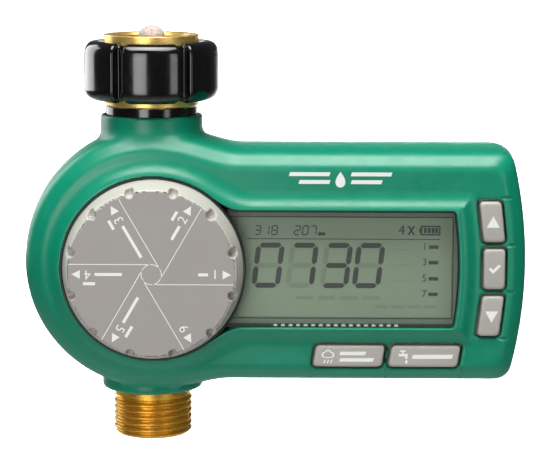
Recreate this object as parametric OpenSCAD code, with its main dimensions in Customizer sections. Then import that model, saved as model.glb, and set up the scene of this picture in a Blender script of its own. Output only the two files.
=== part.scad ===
// Hose-end irrigation controller: a battery-powered tap timer with a diaphragm valve.
// The vertical water axis is X = 0, Y = 0. +Z is up and the front faces -Y. The origin
// is the centre of the rubber sealing face that the tap's spout presses on.
// Depths are called d and run forward from the parting plane, so Y = -d.

/* [Body] */
// Radius of the round end, about the dial
round_r = 44.2; // [44:0.1:46]
// How far the round end's centre stands above the dial's axis
round_rise = 1.4; // [0:0.1:1.6]
// Height of the straight end, about the display
slab_h = 79.6; // [79:0.2:81]
// From the water axis to the farthest point of the right side
reach = 127; // [126.5:0.5:128]
// Radius of the bulging right side
side_r = 147; // [142:1:152]
// From the parting plane to the front flat, and to the back
shell_d = 20.5; // [20.5:0.1:21]
// Thickness of the shells' side walls
wall = 2.6; // [2.4:0.1:2.8]
// Radius of the rounded shoulder where a side turns into a flat
shoulder_r = 6; // [5:0.5:6.5]
// Rise of the sloped frame round the dial and display
frame_rise = 3; // [2.6:0.1:3.2]

/* [Dial] */
// From the water axis to the dial's axis
dial_x = 1.5; // [1:0.1:2]
// Height of the dial's axis under the inlet's sealing face
dial_drop = 65.2; // [64.5:0.1:65.5]
// Radius of the dial at its foot
dial_r = 30.3; // [30:0.1:30.4]
// Radius of the dial at its face
dial_face_r = 27.9; // [27.8:0.1:28.3]
// How far the dial's face stands in front of the parting plane
dial_face_d = 33; // [32:0.5:34]
// Finger grooves round the dial
dial_grooves = 12; // [6:6:12]
// Positions that the dial clicks into
positions = 6; // [4:1:8]

/* [Display] */
// Right end of the window
window_right = 103.5; // [102:0.5:104]
// Height of the window
window_h = 39.6; // [39:0.2:40]
// Pins along the display's lower edge
pin_count = 17; // [13:2:19]

/* [Buttons] */
// Width of a button in the side column
side_key_w = 7.3; // [7:0.1:7.4]
// Height of a button in the side column
side_key_h = 13.7; // [13.4:0.1:13.8]
// Width of a button in the lower row
row_key_w = 23.3; // [22.8:0.1:23.4]
// Height of a button in the lower row
row_key_h = 7.4; // [7.2:0.1:7.8]
// How far the buttons stand in front of the parting plane
key_face_d = 21.8; // [21.4:0.1:22]

/* [Water fittings] */
// Crest radius of the male hose thread, 3/4-11.5 NH
male_r = 13.45; // [13.35:0.05:13.5]
// Crest radius of the female hose thread, 3/4-11.5 NH
female_r = 12.3; // [12.2:0.05:12.4]
// Radius of the swivel collar over its lobes
collar_r = 22.9; // [22.5:0.05:23]
// Lobes round the swivel collar
collar_lobes = 6; // [6:1:6]
// Radius of both green necks
neck_r = 17.3; // [17.2:0.05:17.5]
// Radius of the water passages
water_r = 8.5; // [8:0.1:8.6]

/* [Hidden] */
$fn = 64;

thin = 0.02;               // thickness of the slices that a hull joins
big = 400;                 // larger than the whole object
dial_z = -dial_drop;
arc_x = reach - side_r;    // centre of the bulging right side
round_x = dial_x - 0.1;    // centre of the round end
corner_r = 8;              // corners of the straight end, seen from the front
draft = 0.8;               // how much the sides close in before the shoulder
front_wall = 2.9;          // thickness of the front and back walls
inner_d = shell_d - front_wall;
frame_d = shell_d + frame_rise;
frame_slope = 3.8;         // width of the sloped frame
parting_gap = 0.05;        // half the line between the two shells

// Necks and fittings, as heights on the water axis
neck_top = -15.4;
boss_bottom = dial_z - 44.5;
outlet_end = dial_z - 60.9;
neck_bore_r = neck_r - 1.4;
valve_neck_r = neck_bore_r - 0.3;
collar_top = 9.3;
collar_bottom = -10.7;
insert_top = 11.4;
insert_bottom = -12.4;
insert_r = 16.1;
washer_t = 2.5;
washer_r = 12.1;

// Dial well and the ring that lines it
well_r = 30.95;
well_d = inner_d + 1.8;
ring_r = 30.9;
ring_bore_r = 30.5;
shaft_r = 4;
shaft_gap = 0.06;
rotor_r = 12;
label_r = dial_face_r - 0.9;

// Display stack
lens_d = frame_d - 2.5;
lens_t = 2.6;
window_r = 1.2;
ledge = 1.8;
lcd_left = 29.5;
lcd_right = 101.2;
lcd_h = 34.6;
board_d = 13.6;
board_t = 1.6;
pin_pitch = 2.54;
pin_z = -20.1;
pin_mid_x = 62.6;

// Buttons
key_gap = 0.4;             // between a button and its hole
key_travel = 1;
flange = 0.75;             // how far a button's flange reaches under the wall
flange_t = 0.9;
side_key_x = 111.7;
side_key_pitch = side_key_h + 2.2;
side_key_mid = 0.15;
row_key_x = 55.9;
row_key_z = -25.9;
row_key_lean = 1.25;
row_key_pitch = row_key_w + 2.1;

// Housing screws and the board's posts, as [X, height above the dial's axis]
screw_at = [[dial_x - 24.4, 24.4], [dial_x - 24.4, -24.4], [42, 29.6], [114, 29.6],
            [114, -29.6], [42, -29.6]];
post_at = [[50, 26], [99, 26], [49, -24], [108, -29]];
boss_r = 3;

// Batteries (AA) lie along X behind the display, and the cover is on the back
cell_r = 7.25;
cell_len = 50.5;
cell_x = 53;
cell_z = 8.2;
cell_y = 8.6;
tray_x = 48.5;
tray_len = 58.5;
tray_h = 34.6;
cover_t = 1.2;
cover_seal_t = 0.4;
recess_d = shell_d - cover_t - cover_seal_t;
cover_x = 46;
cover_len = 71;
cover_h = 38.6;
cover_screw_x = 111.6;

// Diaphragm valve, whose axis runs along X, behind the water axis
valve_y = 4;
valve_r = 13;
valve_face_x = 14;
membrane_t = 1.2;
bonnet_x = valve_face_x + membrane_t;
bonnet_len = 9;
coil_x = bonnet_x + bonnet_len + 1.6;
coil_len = 18;
coil_r = 8.2;
plunger_r = 3.6;

// ---- helpers --------------------------------------------------------------

// Extrudes an outline drawn in X and height, from depth d0 forward to d1.
module forward(d0, d1) {
    rotate([90, 0, 0]) translate([0, 0, d0]) linear_extrude(height = d1 - d0) children();
}

// Turns a profile drawn in radius and depth about the dial's axis.
module turned() {
    translate([dial_x, 0, dial_z]) rotate([90, 0, 0]) rotate_extrude() children();
}

// Extrudes a profile drawn in Y and height along X.
module along(x0, x1) {
    translate([x0, 0, dial_z]) rotate([90, 0, 90]) linear_extrude(height = x1 - x0) children();
}

// Places children drawn about +Z on the valve's axis, pointing along +X.
module on_valve_axis(x) {
    translate([x, valve_y, dial_z]) rotate([0, 90, 0]) children();
}

module at_dial_height() {
    translate([0, 0, dial_z]) children();
}

module rod(r, len) {
    cylinder(r = r, h = len);
}

module tube(r, bore, len) {
    difference() {
        rod(r, len);
        translate([0, 0, -1]) rod(bore, len + 2);
    }
}

// A pin along Y at [X, height above the dial], from depth d0 forward to d1.
module pin_at(p, r, d0, d1) {
    translate([p[0], -d0, dial_z + p[1]]) rotate([90, 0, 0]) rod(r, d1 - d0);
}

module o_ring(mid_r, section_r) {
    rotate_extrude() translate([mid_r, 0]) circle(r = section_r, $fn = 24);
}

// Turns the front shell's form over, about a line along X, to make the rear's.
module turned_over() {
    at_dial_height() rotate([180, 0, 0]) translate([0, 0, -dial_z]) children();
}

module front_half() {
    intersection() {
        children();
        translate([-big / 2, -big, -big / 2]) cube([big, big - parting_gap, big]);
    }
}

module rear_half() {
    intersection() {
        children();
        translate([-big / 2, parting_gap, -big / 2]) cube([big, big, big]);
    }
}

// Rounds every corner of a convex outline, given clockwise or not, with radius r.
function unit(v) = v / norm(v);
function corner(p, a, b, r, n = 4) =
    let (u = unit(a - p), v = unit(b - p), half = acos(u * v) / 2,
         c = p + unit(u + v) * r / sin(half),
         s = p + u * r / tan(half) - c, e = p + v * r / tan(half) - c,
         a0 = atan2(s[1], s[0]), turn = atan2(e[1], e[0]) - a0,
         sweep = turn > 180 ? turn - 360 : turn < -180 ? turn + 360 : turn)
    [for (k = [0:n]) c + r * [cos(a0 + sweep * k / n), sin(a0 + sweep * k / n)]];
function rounded(p, r) =
    [for (i = [0:len(p) - 1])
        each corner(p[i], p[(i + len(p) - 1) % len(p)], p[(i + 1) % len(p)], r)];
function box_points(x0, x1, z0, z1) = [[x0, z0], [x1, z0], [x1, z1], [x0, z1]];

// X of a line that keeps to the right side's curve: x at the dial's height, at height z.
function follow(x, z) = arc_x + sqrt(pow(x - arc_x, 2) - z * z);

// ---- housing --------------------------------------------------------------

// The section of a shell from the parting plane to its flat, as [inset, depth].
function shell_section(steps = 5) =
    concat([[0, -1], [0, 0]],
           [for (k = [0:steps]) let (t = 90 * k / steps)
               [draft + shoulder_r * (1 - cos(t)), shell_d - shoulder_r * (1 - sin(t))]]);

// The straight end seen from the front, closed in by an inset.
function slab_points(inset, steps = 6) =
    let (h = slab_h / 2 - inset, r = side_r - inset, c = corner_r - min(inset, 5),
         fx = arc_x + sqrt(pow(r - c, 2) - pow(h - c, 2)), a = atan2(h - c, fx - arc_x))
    concat([[dial_x, h]],
           [for (k = [0:steps]) let (t = 90 + (a - 90) * k / steps)
               [fx + c * cos(t), h - c + c * sin(t)]],
           [for (k = [1:2 * steps - 1]) let (t = a - a * k / steps)
               [arc_x + r * cos(t), r * sin(t)]],
           [for (k = [0:steps]) let (t = -a - (90 - a) * k / steps)
               [fx + c * cos(t), c - h + c * sin(t)]],
           [[dial_x, -h]]);

// A solid shell half: the round end, and the straight end with rounded shoulders.
module shell_form(rise = round_rise) {
    section = shell_section();
    translate([round_x - dial_x, 0, rise]) turned()
        polygon(concat([[0, -1]], [for (s = section) [round_r - s[0], s[1]]], [[0, shell_d]]));
    intersection() {
        along(dial_x, reach + 1)
            polygon(concat([for (s = section) [-s[1], slab_h / 2 - s[0]]],
                           [for (k = [len(section) - 1:-1:0])
                               [-section[k][1], section[k][0] - slab_h / 2]]));
        translate([arc_x, 0, dial_z]) rotate([90, 0, 0]) rotate_extrude($fn = 128)
            polygon(concat([[20, -1]], [for (s = section) [side_r - s[0], s[1]]],
                           [[20, shell_d]]));
        at_dial_height() forward(-2, shell_d + 1) polygon(slab_points(0));
    }
}

// The hollow of a shell half, in two steps so that the wall keeps its thickness.
module shell_hollow(rise = round_rise) {
    for (step = [[wall, inner_d - 3.6], [wall + 2.9, inner_d]]) {
        translate([round_x, 0, dial_z + rise]) rotate([90, 0, 0]) translate([0, 0, -3])
            rod(round_r - step[0], step[1] + 3);
        at_dial_height() forward(-3, step[1]) polygon(slab_points(step[0]));
    }
}

module necks() {
    rotate([0, 0, 45]) {
        translate([0, 0, dial_z + 30]) rod(neck_r, neck_top - dial_z - 30);
        translate([0, 0, boss_bottom - 1]) rod(neck_r, dial_z - 29 - boss_bottom);
    }
}

// Everything of the case under the outlet boss's end face.
module under_boss() {
    translate([-40, -60, boss_bottom - 20]) cube([80, 120, 20]);
}

module neck_bores() {
    rotate([0, 0, 45]) {
        translate([0, 0, dial_z + 27]) rod(neck_bore_r, 40);
        translate([0, 0, boss_bottom - 5]) rod(neck_bore_r, 23);
    }
}

// The sloped frame's outline where it starts (inset 0) and where it ends.
function frame_points(inset) =
    let (z = window_h / 2 + frame_slope - inset, x = window_right + 5.2 - inset)
    concat([[dial_x, z]], [for (k = [0:8]) let (t = z - 2 * z * k / 8) [follow(x, t), t]],
           [[dial_x, -z]]);

module raised_frame() {
    turned() polygon([[0, shell_d - 1], [well_r + frame_slope, shell_d - 1],
                      [well_r + frame_slope, shell_d], [well_r + 0.6, frame_d], [0, frame_d]]);
    hull() {
        at_dial_height() forward(shell_d - 1, shell_d) polygon(frame_points(0));
        at_dial_height() forward(frame_d - thin, frame_d) polygon(frame_points(frame_slope - 0.6));
    }
}

// The display window, grown by g.
function window_points(g) =
    let (z = window_h / 2 + g)
    rounded([[20, -z], [follow(window_right + g, z), -z], [window_right + g + 0.6, 0],
             [follow(window_right + g, z), z], [20, z]], window_r);

function side_key(row) =
    let (z = side_key_mid + row * side_key_pitch, h = side_key_h / 2, x = side_key_x)
    [[follow(x, z - h), z - h], [follow(x + side_key_w, z - h), z - h],
     [follow(x + side_key_w, z + h), z + h], [follow(x, z + h), z + h]];

function row_key(place) =
    let (x = row_key_x + place * row_key_pitch)
    [[x - row_key_lean, row_key_z - row_key_h],
     [x + row_key_w - row_key_lean, row_key_z - row_key_h],
     [x + row_key_w, row_key_z], [x, row_key_z]];

// Moves each corner of a four-cornered outline outward by g.
function grown(p, g) =
    let (m = (p[0] + p[1] + p[2] + p[3]) / 4)
    [for (q = p) q + g * [sign(q[0] - m[0]), sign(q[1] - m[1])]];

KEYS = [side_key(1), side_key(0), side_key(-1), row_key(0), row_key(1)];

module front_housing() {
    color([0.05, 0.52, 0.40])
    difference() {
        front_half() {
            union() {
                difference() {
                    union() {
                        shell_form();
                        raised_frame();
                        necks();
                    }
                    shell_hollow();
                    neck_bores();
                    // well for the dial
                    translate([dial_x, 0, dial_z]) rotate([90, 0, 0]) translate([0, 0, well_d])
                        rod(well_r, 20);
                    // window, and the wider seat for the lens behind it
                    at_dial_height() forward(lens_d - 1, frame_d + 1) difference() {
                        polygon(window_points(0));
                        translate([dial_x, 0]) circle(r = well_r);
                    }
                    at_dial_height() forward(inner_d - 1, lens_d - 0.95) difference() {
                        polygon(window_points(ledge));
                        translate([dial_x, 0]) circle(r = well_r + 1.5);
                    }
                    for (key = KEYS) at_dial_height()
                        forward(inner_d - 1, shell_d + 5)
                            polygon(rounded(grown(key, key_gap), 1.2));
                }
                // boss that guides the dial's shaft
                translate([dial_x, 0, dial_z]) rotate([90, 0, 0]) translate([0, 0, inner_d])
                    rod(7.4, 5.4);
                for (p = screw_at) pin_at(p, boss_r, parting_gap, inner_d + 0.5);
                for (p = post_at) pin_at(p, 2.6, board_d, inner_d + 0.5);
            }
        }
        translate([dial_x, 0, dial_z]) rotate([90, 0, 0]) {
            translate([0, 0, inner_d - 1]) rod(shaft_r + shaft_gap, 12);
            translate([0, 0, inner_d + 3.2]) rod(6.1, 8);
        }
        for (p = screw_at) pin_at(p, 1.25, -1, 12);
        for (p = post_at) pin_at(p, 0.85, board_d - 1, inner_d);
        under_boss();
    }
}

// Through hole and the deep counterbore for a screw's head.
module screw_hole(p) {
    translate([p[0], 0, dial_z + p[1]]) rotate([-90, 30, 0]) rotate_extrude()
        polygon([[0, -1], [1.7, -1], [1.7, 9], [3.1, 9], [3.1, shell_d + 1], [0, shell_d + 1]]);
}

module rear_housing() {
    color([0.05, 0.48, 0.37])
    difference() {
        union() {
            rear_half() difference() {
                union() {
                    turned_over() shell_form(-round_rise);
                    necks();
                }
                turned_over() shell_hollow(-round_rise);
                neck_bores();
            }
            for (p = screw_at) pin_at(p, boss_r + 0.8, 2 - shell_d, -parting_gap);
            // boss for the cover's screw
            pin_at([cover_screw_x, 0], 3.6, -recess_d, 8 - shell_d);
        }
        for (p = screw_at) screw_hole(p);
        // battery opening, and the recess that the cover lies in
        at_dial_height() forward(-shell_d - 1, -recess_d)
            polygon(rounded(box_points(cover_x, cover_x + cover_len, -cover_h / 2, cover_h / 2), 4));
        at_dial_height() forward(-shell_d - 1, 1 - inner_d)
            polygon(rounded(box_points(tray_x + 1.5, tray_x + tray_len - 1.5,
                                       1.5 - tray_h / 2, tray_h / 2 - 1.5), 2));
        pin_at([cover_screw_x, 0], 1.3, -shell_d, 8 - shell_d);
        under_boss();
    }
}

// A plate of the body's outline, seen from the front, closed in by an inset.
module outline_plate(inset, d0, d1) {
    pin_at([round_x, round_rise], round_r - inset, d0, d1);
    at_dial_height() forward(d0, d1) polygon(slab_points(inset));
}

// Seal strips in the parting line, left and right of the necks.
module housing_gasket() {
    color([0.1, 0.1, 0.1])
    difference() {
        outline_plate(0.8, -parting_gap, parting_gap);
        outline_plate(1.9, -1, 1);
        translate([-neck_r - 0.3, -3, dial_z - 60]) cube([2 * neck_r + 0.6, 6, 120]);
    }
}

module housing_screws() {
    color([0.75, 0.76, 0.78])
    for (p = screw_at) {
        pin_at(p, 1.2, -9.5, 11);
        difference() {
            pin_at(p, 2.7, -11, -9);
            pin_at(p, 1.1, -12, -10.2);
        }
    }
}

// ---- display --------------------------------------------------------------

module display_lens() {
    color([0.85, 0.88, 0.86, 0.35])
    at_dial_height() {
        forward(lens_d - 1, lens_d) difference() {
            polygon(window_points(-0.15));
            translate([dial_x, 0]) circle(r = well_r + 0.15);
        }
        forward(lens_d - lens_t, lens_d - 1) difference() {
            polygon(window_points(ledge - 0.2));
            translate([dial_x, 0]) circle(r = well_r + 1.7);
        }
    }
}

module lcd_frame() {
    color([0.25, 0.28, 0.27])
    at_dial_height() difference() {
        forward(board_d + 0.6, inner_d - 0.1)
            polygon(box_points(lcd_left - 3, lcd_right + 2.8, -19.2, 19.8));
        forward(board_d, inner_d + 1)
            polygon(box_points(lcd_left, lcd_right, -lcd_h / 2, lcd_h / 2));
        forward(board_d, inner_d - 1.2)
            polygon(box_points(lcd_left - 1.6, lcd_right + 1.4, -18.4, 18.4));
    }
}

module lcd_glass() {
    color([0.45, 0.50, 0.42])
    at_dial_height() forward(inner_d - 3, inner_d - 1.25)
        polygon(box_points(lcd_left - 1.5, lcd_right + 1.3, -18.3, 18.3));
}

module lcd_pins() {
    color([0.9, 0.9, 0.85])
    for (k = [0:pin_count - 1])
        pin_at([pin_mid_x + (k - (pin_count - 1) / 2) * pin_pitch, pin_z], 0.7,
               board_d, inner_d - 0.2);
}

// ---- electronics ----------------------------------------------------------

module circuit_board() {
    color([0.05, 0.35, 0.2])
    difference() {
        union() {
            at_dial_height() intersection() {
                forward(board_d - board_t, board_d) polygon(slab_points(wall + 1.6));
                forward(board_d - 5, board_d + 5) translate([26, -60]) square([100, 120]);
            }
            at_dial_height() forward(board_d - board_t, board_d) translate([dial_x, -12])
                square([30, 24]);
            pin_at([dial_x, 0], 17, board_d - board_t, board_d);
        }
        for (p = screw_at) pin_at(p, boss_r + 0.6, board_d - 3, board_d + 1);
        for (p = post_at) pin_at(p, 1.1, board_d - 3, board_d + 1);
    }
}

module board_screws() {
    color([0.8, 0.8, 0.8])
    for (p = post_at) {
        pin_at(p, 0.8, board_d - board_t - 0.5, inner_d - 0.4);
        pin_at(p, 1.9, board_d - board_t - 1.2, board_d - board_t);
    }
}

// Integrated circuits and capacitors on the board's back.
module board_chips() {
    color([0.08, 0.08, 0.09])
    at_dial_height() {
        for (c = [[64, 22, 9, 9, 1.6], [80, 24, 5, 4, 1.4], [60, -24, 6, 5, 1.4]])
            forward(board_d - board_t - c[4], board_d - board_t)
                polygon(box_points(c[0] - c[2] / 2, c[0] + c[2] / 2,
                                   c[1] - c[3] / 2, c[1] + c[3] / 2));
    }
    color([0.2, 0.2, 0.5])
    for (p = [[90, 25], [74, -26]]) pin_at(p, 2.5, board_d - board_t - 7, board_d - board_t);
}

// Carbon pads that the keypads' pills close.
module contact_pads() {
    color([0.12, 0.12, 0.12])
    for (key = KEYS) {
        m = (key[0] + key[2]) / 2;
        pin_at(m, 1.8, board_d, board_d + 0.05);
    }
}

// ---- dial -----------------------------------------------------------------

// Thin black ring that lines the dial's well and closes the window's left end.
module dial_ring() {
    color([0.02, 0.02, 0.02])
    turned() polygon([[ring_bore_r, well_d], [ring_r, well_d], [ring_r, frame_d + 0.1],
                      [ring_bore_r, frame_d + 0.1]]);
}

// The finger flutes in the dial's rim, which also bite into its label.
module dial_flutes(r) {
    for (k = [0:dial_grooves - 1])
        translate([dial_x, 0, dial_z]) rotate([0, (k + 0.5) * 360 / dial_grooves, 0])
            translate([dial_face_r - 0.4, -dial_face_d + 4.5, 0]) rotate([90, 0, 0]) rod(r, 6.5);
}

module mode_dial() {
    foot_d = well_d + 0.5;
    color([0.72, 0.71, 0.67])
    difference() {
        turned() polygon([[0, foot_d], [dial_r, foot_d], [dial_r, foot_d + 4],
                          [dial_face_r, dial_face_d - 0.3], [dial_face_r - 0.3, dial_face_d],
                          [0, dial_face_d]]);
        turned() polygon([[7, foot_d - 1], [dial_r - 4.2, foot_d - 1],
                          [dial_face_r - 4.2, dial_face_d - 3], [7, dial_face_d - 3]]);
        // clears the shaft's guide and holds the shaft
        turned() polygon([[0, foot_d - 1], [8, foot_d - 1], [8, foot_d + 5], [shaft_r, foot_d + 5],
                          [shaft_r, dial_face_d - 3], [0, dial_face_d - 3]]);
        turned() polygon([[0, dial_face_d - 0.3], [label_r + 0.05, dial_face_d - 0.3],
                          [label_r + 0.05, dial_face_d + 1], [0, dial_face_d + 1]]);
        dial_flutes(1.45);
    }
}

module dial_label() {
    color([0.62, 0.61, 0.59])
    difference() {
        turned() polygon([[0, dial_face_d - 0.3], [label_r, dial_face_d - 0.3],
                          [label_r, dial_face_d], [0, dial_face_d]]);
        dial_flutes(1.5);
    }
}

module dial_shaft() {
    color([0.85, 0.85, 0.85])
    difference() {
        translate([dial_x, 0, dial_z]) rotate([90, 0, 0]) translate([0, 0, board_d + 0.5])
            rod(shaft_r, dial_face_d - 3 - board_d - 0.5);
        translate([dial_x, 0, dial_z]) rotate([90, 0, 0]) translate([0, 0, inner_d - 0.95])
            tube(shaft_r + 1, shaft_r - 0.8, 0.7);
    }
}

module dial_seal() {
    color([0.1, 0.1, 0.1])
    translate([dial_x, -inner_d - 4.2, dial_z]) rotate([90, 0, 0]) o_ring(5.1, 0.85);
}

// Rotor that sweeps the board's contacts, with a stop in its rim for each position.
module switch_rotor() {
    color([0.9, 0.88, 0.8])
    difference() {
        translate([dial_x, -board_d - 0.6, dial_z]) rotate([90, 0, 0]) tube(rotor_r, shaft_r, 2);
        for (k = [0:positions - 1])
            translate([dial_x, -board_d, dial_z]) rotate([0, k * 360 / positions, 0])
                translate([rotor_r + 0.4, 0, 0]) rotate([90, 0, 0]) rod(1.4, 4);
    }
}

module shaft_clip() {
    color([0.5, 0.5, 0.52])
    translate([dial_x, 0, dial_z]) rotate([90, 0, 0]) translate([0, 0, inner_d - 0.9]) difference() {
        tube(6.4, shaft_r - 0.75, 0.6);
        translate([-2.4, 0, -1]) cube([4.8, 10, 3]);
    }
}

// Leaf spring whose bump rests in one of the rotor's stops.
module detent_spring() {
    color([0.7, 0.7, 0.72])
    translate([dial_x, 0, dial_z]) {
        translate([rotor_r + 1.2, -board_d - 2.4, -9]) cube([0.4, 1.6, 18]);
        translate([rotor_r + 1.1, -board_d - 0.8, 0]) rotate([90, 0, 0]) rod(1, 1.6);
        for (s = [-1, 1])
            translate([rotor_r + 1.2, -board_d - 2.4, s * 9 - 0.5]) cube([3, 2.35, 1]);
    }
}

// ---- buttons --------------------------------------------------------------

module button(key) {
    color([0.70, 0.70, 0.68])
    at_dial_height() {
        forward(inner_d - 0.2, key_face_d - 0.5) polygon(rounded(key, 1));
        forward(key_face_d - 0.5, key_face_d) polygon(rounded(grown(key, -0.4), 0.9));
        forward(inner_d - 0.2 - flange_t, inner_d - 0.2) polygon(rounded(grown(key, flange), 1));
    }
}

// Silicone sheet with a domed pill under each button.
module keypad(points, keys) {
    color([0.85, 0.85, 0.82])
    at_dial_height() {
        difference() {
            forward(board_d + 0.1, board_d + 0.9) polygon(points);
            for (key = keys) forward(board_d, board_d + 0.5)
                polygon(rounded(grown(key, -1.4), 0.8));
        }
        for (key = keys) forward(board_d + 0.8, inner_d - 0.25 - flange_t)
            polygon(rounded(grown(key, -1.6), 0.8));
    }
}

module side_keypad() {
    keypad(box_points(107.4, 119.1, -24.6, 24.9), [KEYS[0], KEYS[1], KEYS[2]]);
}

module lower_keypad() {
    keypad(box_points(52.6, 105, -34.1, -23.8), [KEYS[3], KEYS[4]]);
}

// ---- batteries ------------------------------------------------------------

module battery_tray() {
    color([0.12, 0.12, 0.13])
    difference() {
        at_dial_height() forward(-inner_d, 0.6)
            polygon(box_points(tray_x, tray_x + tray_len, -tray_h / 2, tray_h / 2));
        at_dial_height() forward(-shell_d, -0.8)
            polygon(box_points(tray_x + 1.6, tray_x + tray_len - 1.6,
                               1.6 - tray_h / 2, tray_h / 2 - 1.6));
        for (s = [-1, 1]) translate([tray_x - 1, 9, dial_z + s * cell_z]) rotate([0, 90, 0])
            rod(0.9, 4);
    }
}

// One cell along X. way is 1 where its button end is on the right.
module cell(z, way) {
    color([0.75, 0.6, 0.25])
    translate([cell_x + cell_len / 2, cell_y, dial_z + z]) rotate([0, way * 90, 0])
        translate([0, 0, -cell_len / 2]) {
            rod(cell_r, cell_len - 1.2);
            rod(2.6, cell_len);
        }
}

// A straight coil spring along +Z, swept along a helix.
module coil_spring(mid_r, wire_r, len, turns) {
    per_turn = 14;
    sides = 6;
    n = turns * per_turn;
    rise = len - 2 * wire_r;
    points = [for (k = [0:n]) let (a = 360 * k / per_turn, z = wire_r + rise * k / n)
        for (j = [0:sides - 1]) let (b = 360 * j / sides, r = mid_r + wire_r * cos(b))
            [r * cos(a), r * sin(a), z + wire_r * sin(b)]];
    sides_faces = [for (k = [0:n - 1], j = [0:sides - 1]) let (i = (j + 1) % sides)
        [k * sides + j, k * sides + i, (k + 1) * sides + i, (k + 1) * sides + j]];
    polyhedron(points, concat(sides_faces, [[for (j = [sides - 1:-1:0]) j]],
                              [[for (j = [0:sides - 1]) n * sides + j]]));
}

module battery_springs() {
    color([0.8, 0.8, 0.82]) {
        translate([cell_x + cell_len + 0.1, cell_y, dial_z - cell_z]) rotate([0, 90, 0])
            coil_spring(4, 0.4, tray_x + tray_len - 2.1 - cell_x - cell_len - 0.1, 2);
        translate([tray_x + 2.2, cell_y, dial_z + cell_z]) rotate([0, 90, 0])
            coil_spring(4, 0.4, cell_x - 0.1 - tray_x - 2.2, 2);
    }
}

module battery_contacts() {
    color([0.85, 0.82, 0.7]) {
        translate([tray_x + 1.65, cell_y - 5, dial_z + cell_z - 5]) cube([0.5, 10, 10]);
        translate([tray_x + 1.65, cell_y - 5, dial_z - cell_z - 5]) cube([0.5, 10, 10]);
        translate([tray_x + tray_len - 2.1, cell_y - 5, dial_z - cell_z - 5])
            cube([0.5, 10, 2 * cell_z + 10]);
        // plates that reach in to the cells' button ends
        translate([tray_x + 2.15, cell_y - 2, dial_z - cell_z - 2])
            cube([cell_x - 0.1 - tray_x - 2.15, 4, 4]);
        translate([cell_x + cell_len + 0.1, cell_y - 2, dial_z + cell_z - 2])
            cube([tray_x + tray_len - 2.1 - cell_x - cell_len - 0.1, 4, 4]);
    }
}

module battery_cover() {
    color([0.05, 0.5, 0.38])
    difference() {
        union() {
            at_dial_height() forward(-shell_d, cover_t - shell_d)
                polygon(rounded(box_points(cover_x + 0.3, cover_x + cover_len - 0.3,
                                           0.3 - cover_h / 2, cover_h / 2 - 0.3), 3.8));
            // lip that enters the opening
            at_dial_height() forward(cover_t - 0.1 - shell_d, -inner_d + 0.6) difference() {
                polygon(rounded(box_points(tray_x + 1.9, tray_x + tray_len - 1.9,
                                           1.9 - tray_h / 2, tray_h / 2 - 1.9), 1.8));
                polygon(rounded(box_points(tray_x + 3.9, tray_x + tray_len - 3.9,
                                           3.9 - tray_h / 2, tray_h / 2 - 3.9), 1.2));
            }
        }
        pin_at([cover_screw_x, 0], 1.6, -shell_d - 1, 3 - shell_d);
        pin_at([cover_screw_x, 0], 3.2, -shell_d - 1, 0.7 - shell_d);
        // finger notch at the free end
        pin_at([cover_x + 1.5, 0], 6, -shell_d - 1, 0.5 - shell_d);
    }
}

module cover_gasket() {
    color([0.15, 0.15, 0.15])
    at_dial_height() forward(cover_t - shell_d, -recess_d) difference() {
        polygon(rounded(box_points(tray_x - 0.4, tray_x + tray_len + 0.4,
                                   -tray_h / 2 - 0.4, tray_h / 2 + 0.4), 2.5));
        polygon(rounded(box_points(tray_x + 1.5, tray_x + tray_len - 1.5,
                                   1.5 - tray_h / 2, tray_h / 2 - 1.5), 1.8));
    }
}

module cover_screw() {
    color([0.75, 0.76, 0.78])
    difference() {
        union() {
            pin_at([cover_screw_x, 0], 3, -shell_d - 0.3, 0.7 - shell_d);
            pin_at([cover_screw_x, 0], 1.22, 0.6 - shell_d, 7.4 - shell_d);
        }
        translate([cover_screw_x - 4, shell_d - 0.1, dial_z - 0.4]) cube([8, 2, 0.8]);
    }
}

// A lead through a list of points, swept with its bends mitred.
module lead(points, r, sides = 12) {
    n = len(points) - 1;
    runs = [for (k = [0:n - 1]) unit(points[k + 1] - points[k])];
    u = unit(cross(runs[0], [0.3, 0.5, 0.8]));
    v = cross(runs[0], u);
    start = [for (j = [0:sides - 1]) let (a = -360 * j / sides)
        points[0] + r * (u * cos(a) + v * sin(a))];
    // slides a ring along run k until it lies in the plane that halves the next bend
    function slid(ring, k) =
        let (face = k == n - 1 ? runs[k] : unit(runs[k] + runs[k + 1]))
        [for (q = ring) q + runs[k] * (((points[k + 1] - q) * face) / (runs[k] * face))];
    function rings(ring, k) = k == n ? [ring] : concat([ring], rings(slid(ring, k), k + 1));
    polyhedron([for (ring = rings(start, 0)) each ring],
               concat([for (k = [0:n - 1], j = [0:sides - 1]) let (i = (j + 1) % sides)
                          [k * sides + j, k * sides + i, (k + 1) * sides + i, (k + 1) * sides + j]],
                      [[for (j = [sides - 1:-1:0]) j]], [[for (j = [0:sides - 1]) n * sides + j]]));
}

battery_route = [[tray_x + 1.6, 9, 0], [47, 9, 0], [46.6, 2, 3], [46.6, -9, 6],
                 [46.6, board_t - board_d, 6]];
solenoid_route = [[coil_x + coil_len - 2, 2.5, coil_r], [coil_x + coil_len - 2, 2.5, 12],
                  [40, -4, 16], [38, -9, 18], [38, board_t - board_d, 18]];

module battery_wires() {
    color([0.8, 0.1, 0.1]) translate([0, 0, dial_z + cell_z]) lead(battery_route, 0.6);
    color([0.1, 0.1, 0.1]) translate([0, 0, dial_z - cell_z])
        lead([for (p = battery_route) [p[0], p[1], -p[2]]], 0.6);
}

module solenoid_wires() {
    color([0.8, 0.1, 0.1]) translate([0, 0, dial_z]) lead(solenoid_route, 0.6);
    color([0.1, 0.1, 0.1]) translate([-3, 0, dial_z]) lead(solenoid_route, 0.6);
}

// ---- inlet ----------------------------------------------------------------

pitch = 25.4 / 11.5;
thread_depth = 1.3;
crest = 0.4;               // width of a thread's flat crest

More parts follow.
